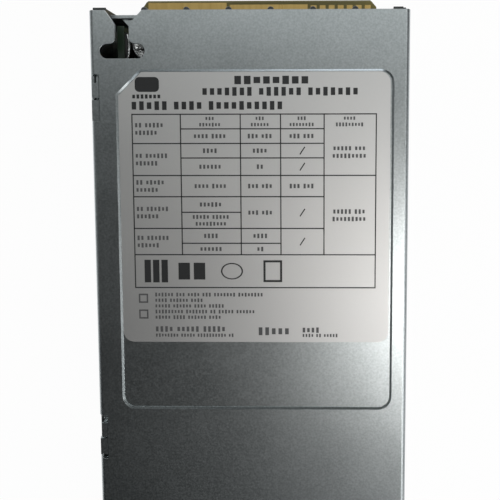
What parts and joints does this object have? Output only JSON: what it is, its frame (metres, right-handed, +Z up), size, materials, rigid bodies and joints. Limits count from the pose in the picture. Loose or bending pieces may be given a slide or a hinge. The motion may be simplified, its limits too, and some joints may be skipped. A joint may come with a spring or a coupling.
{
  "type": "server power supply",
  "caption": "Slim hot-swap server power supply: folded steel case with a rear card edge, fan grille, mains inlet, loop handle and a sprung side latch.",
  "frame": {"origin": "centre of the case's underside", "axes": "+Z up, +Y towards the card-edge end that goes into the server, +X to the latch side"},
  "size_m": [0.0751, 0.2235, 0.039],
  "materials": {
    "zinc_steel": "galvanised sheet",
    "label_film": "satin printed film",
    "screw_steel": "plated",
    "black_plastic": "moulded",
    "circuit_board": "solder resist",
    "gold_plate": "plated",
    "winding_tape": "polyester tape",
    "ferrite": "sintered",
    "bare_aluminium": "extruded",
    "can_sleeve": "shrunk sleeve",
    "device_resin": "moulded resin",
    "capacitor_resin": "moulded resin",
    "tinned_copper": "tinned",
    "insulating_film": "film",
    "cable_jacket": "flat lead",
    "light_pipe": "clear tinted"
  },
  "bodies": {
    "case": {"ac_inlet": "black_plastic", "base_tray": "zinc_steel", "board_posts": "zinc_steel", "boost_choke_core": "ferrite", "boost_choke_winding": "winding_tape", "boost_devices": "device_resin", "boost_heat_sink": "bare_aluminium", "bulk_capacitors": "can_sleeve", "contact_pads": "gold_plate", "control_board": "circuit_board", "control_chips": "device_resin", "cover_screw": "screw_steel", "fan_cable": "cable_jacket", "fan_frame": "black_plastic", "fan_screws": "screw_steel", "fan_stator": "ferrite", "filter_capacitor": "capacitor_resin", "front_filter_choke_core": "ferrite", "front_filter_choke_winding": "winding_tape", "front_panel": "zinc_steel", "fuse": "device_resin", "handle": "black_plastic", "inlet_links": "tinned_copper", "inlet_pins": "tinned_copper", "insulation_sheet": "insulating_film", "latch_bracket": "zinc_steel", "latch_pin": "screw_steel", "latch_spring": "screw_steel", "main_board": "circuit_board", "output_busbars": "tinned_copper", "output_capacitors": "bare_aluminium", "primary_devices": "device_resin", "primary_heat_sink": "bare_aluminium", "rating_label": "label_film", "rear_filter_choke_core": "ferrite", "rear_filter_choke_winding": "winding_tape", "rear_panel": "zinc_steel", "rectifier_heat_sink": "bare_aluminium", "relay": "device_resin", "resonant_choke_core": "ferrite", "resonant_choke_winding": "winding_tape", "standby_transformer_core": "ferrite", "standby_transformer_winding": "winding_tape", "status_light": "light_pipe", "top_cover": "zinc_steel", "transformer_core": "ferrite", "transformer_winding": "winding_tape"},
    "fan_rotor": {"fan_impeller": "black_plastic", "fan_shaft": "screw_steel"},
    "release_latch": {"latch_lever": "zinc_steel", "latch_grip": "black_plastic"}
  },
  "joints": [
    {"name": "fan_spin", "type": "hinge", "parent": "case", "child": "fan_rotor", "pos_m": [-0.0169, -0.0777, 0.0199], "axis": [0, 1, 0], "continuous": true},
    {"name": "latch_swing", "type": "hinge", "parent": "case", "child": "release_latch", "pos_m": [0.0339, -0.052, 0.019], "axis": [0, 0, -1], "range_deg": [0, 2.8], "stiffness_Nm_per_rad": 0.3, "springref_deg": -2.86, "deforming": ["latch_spring"]}
  ]
}
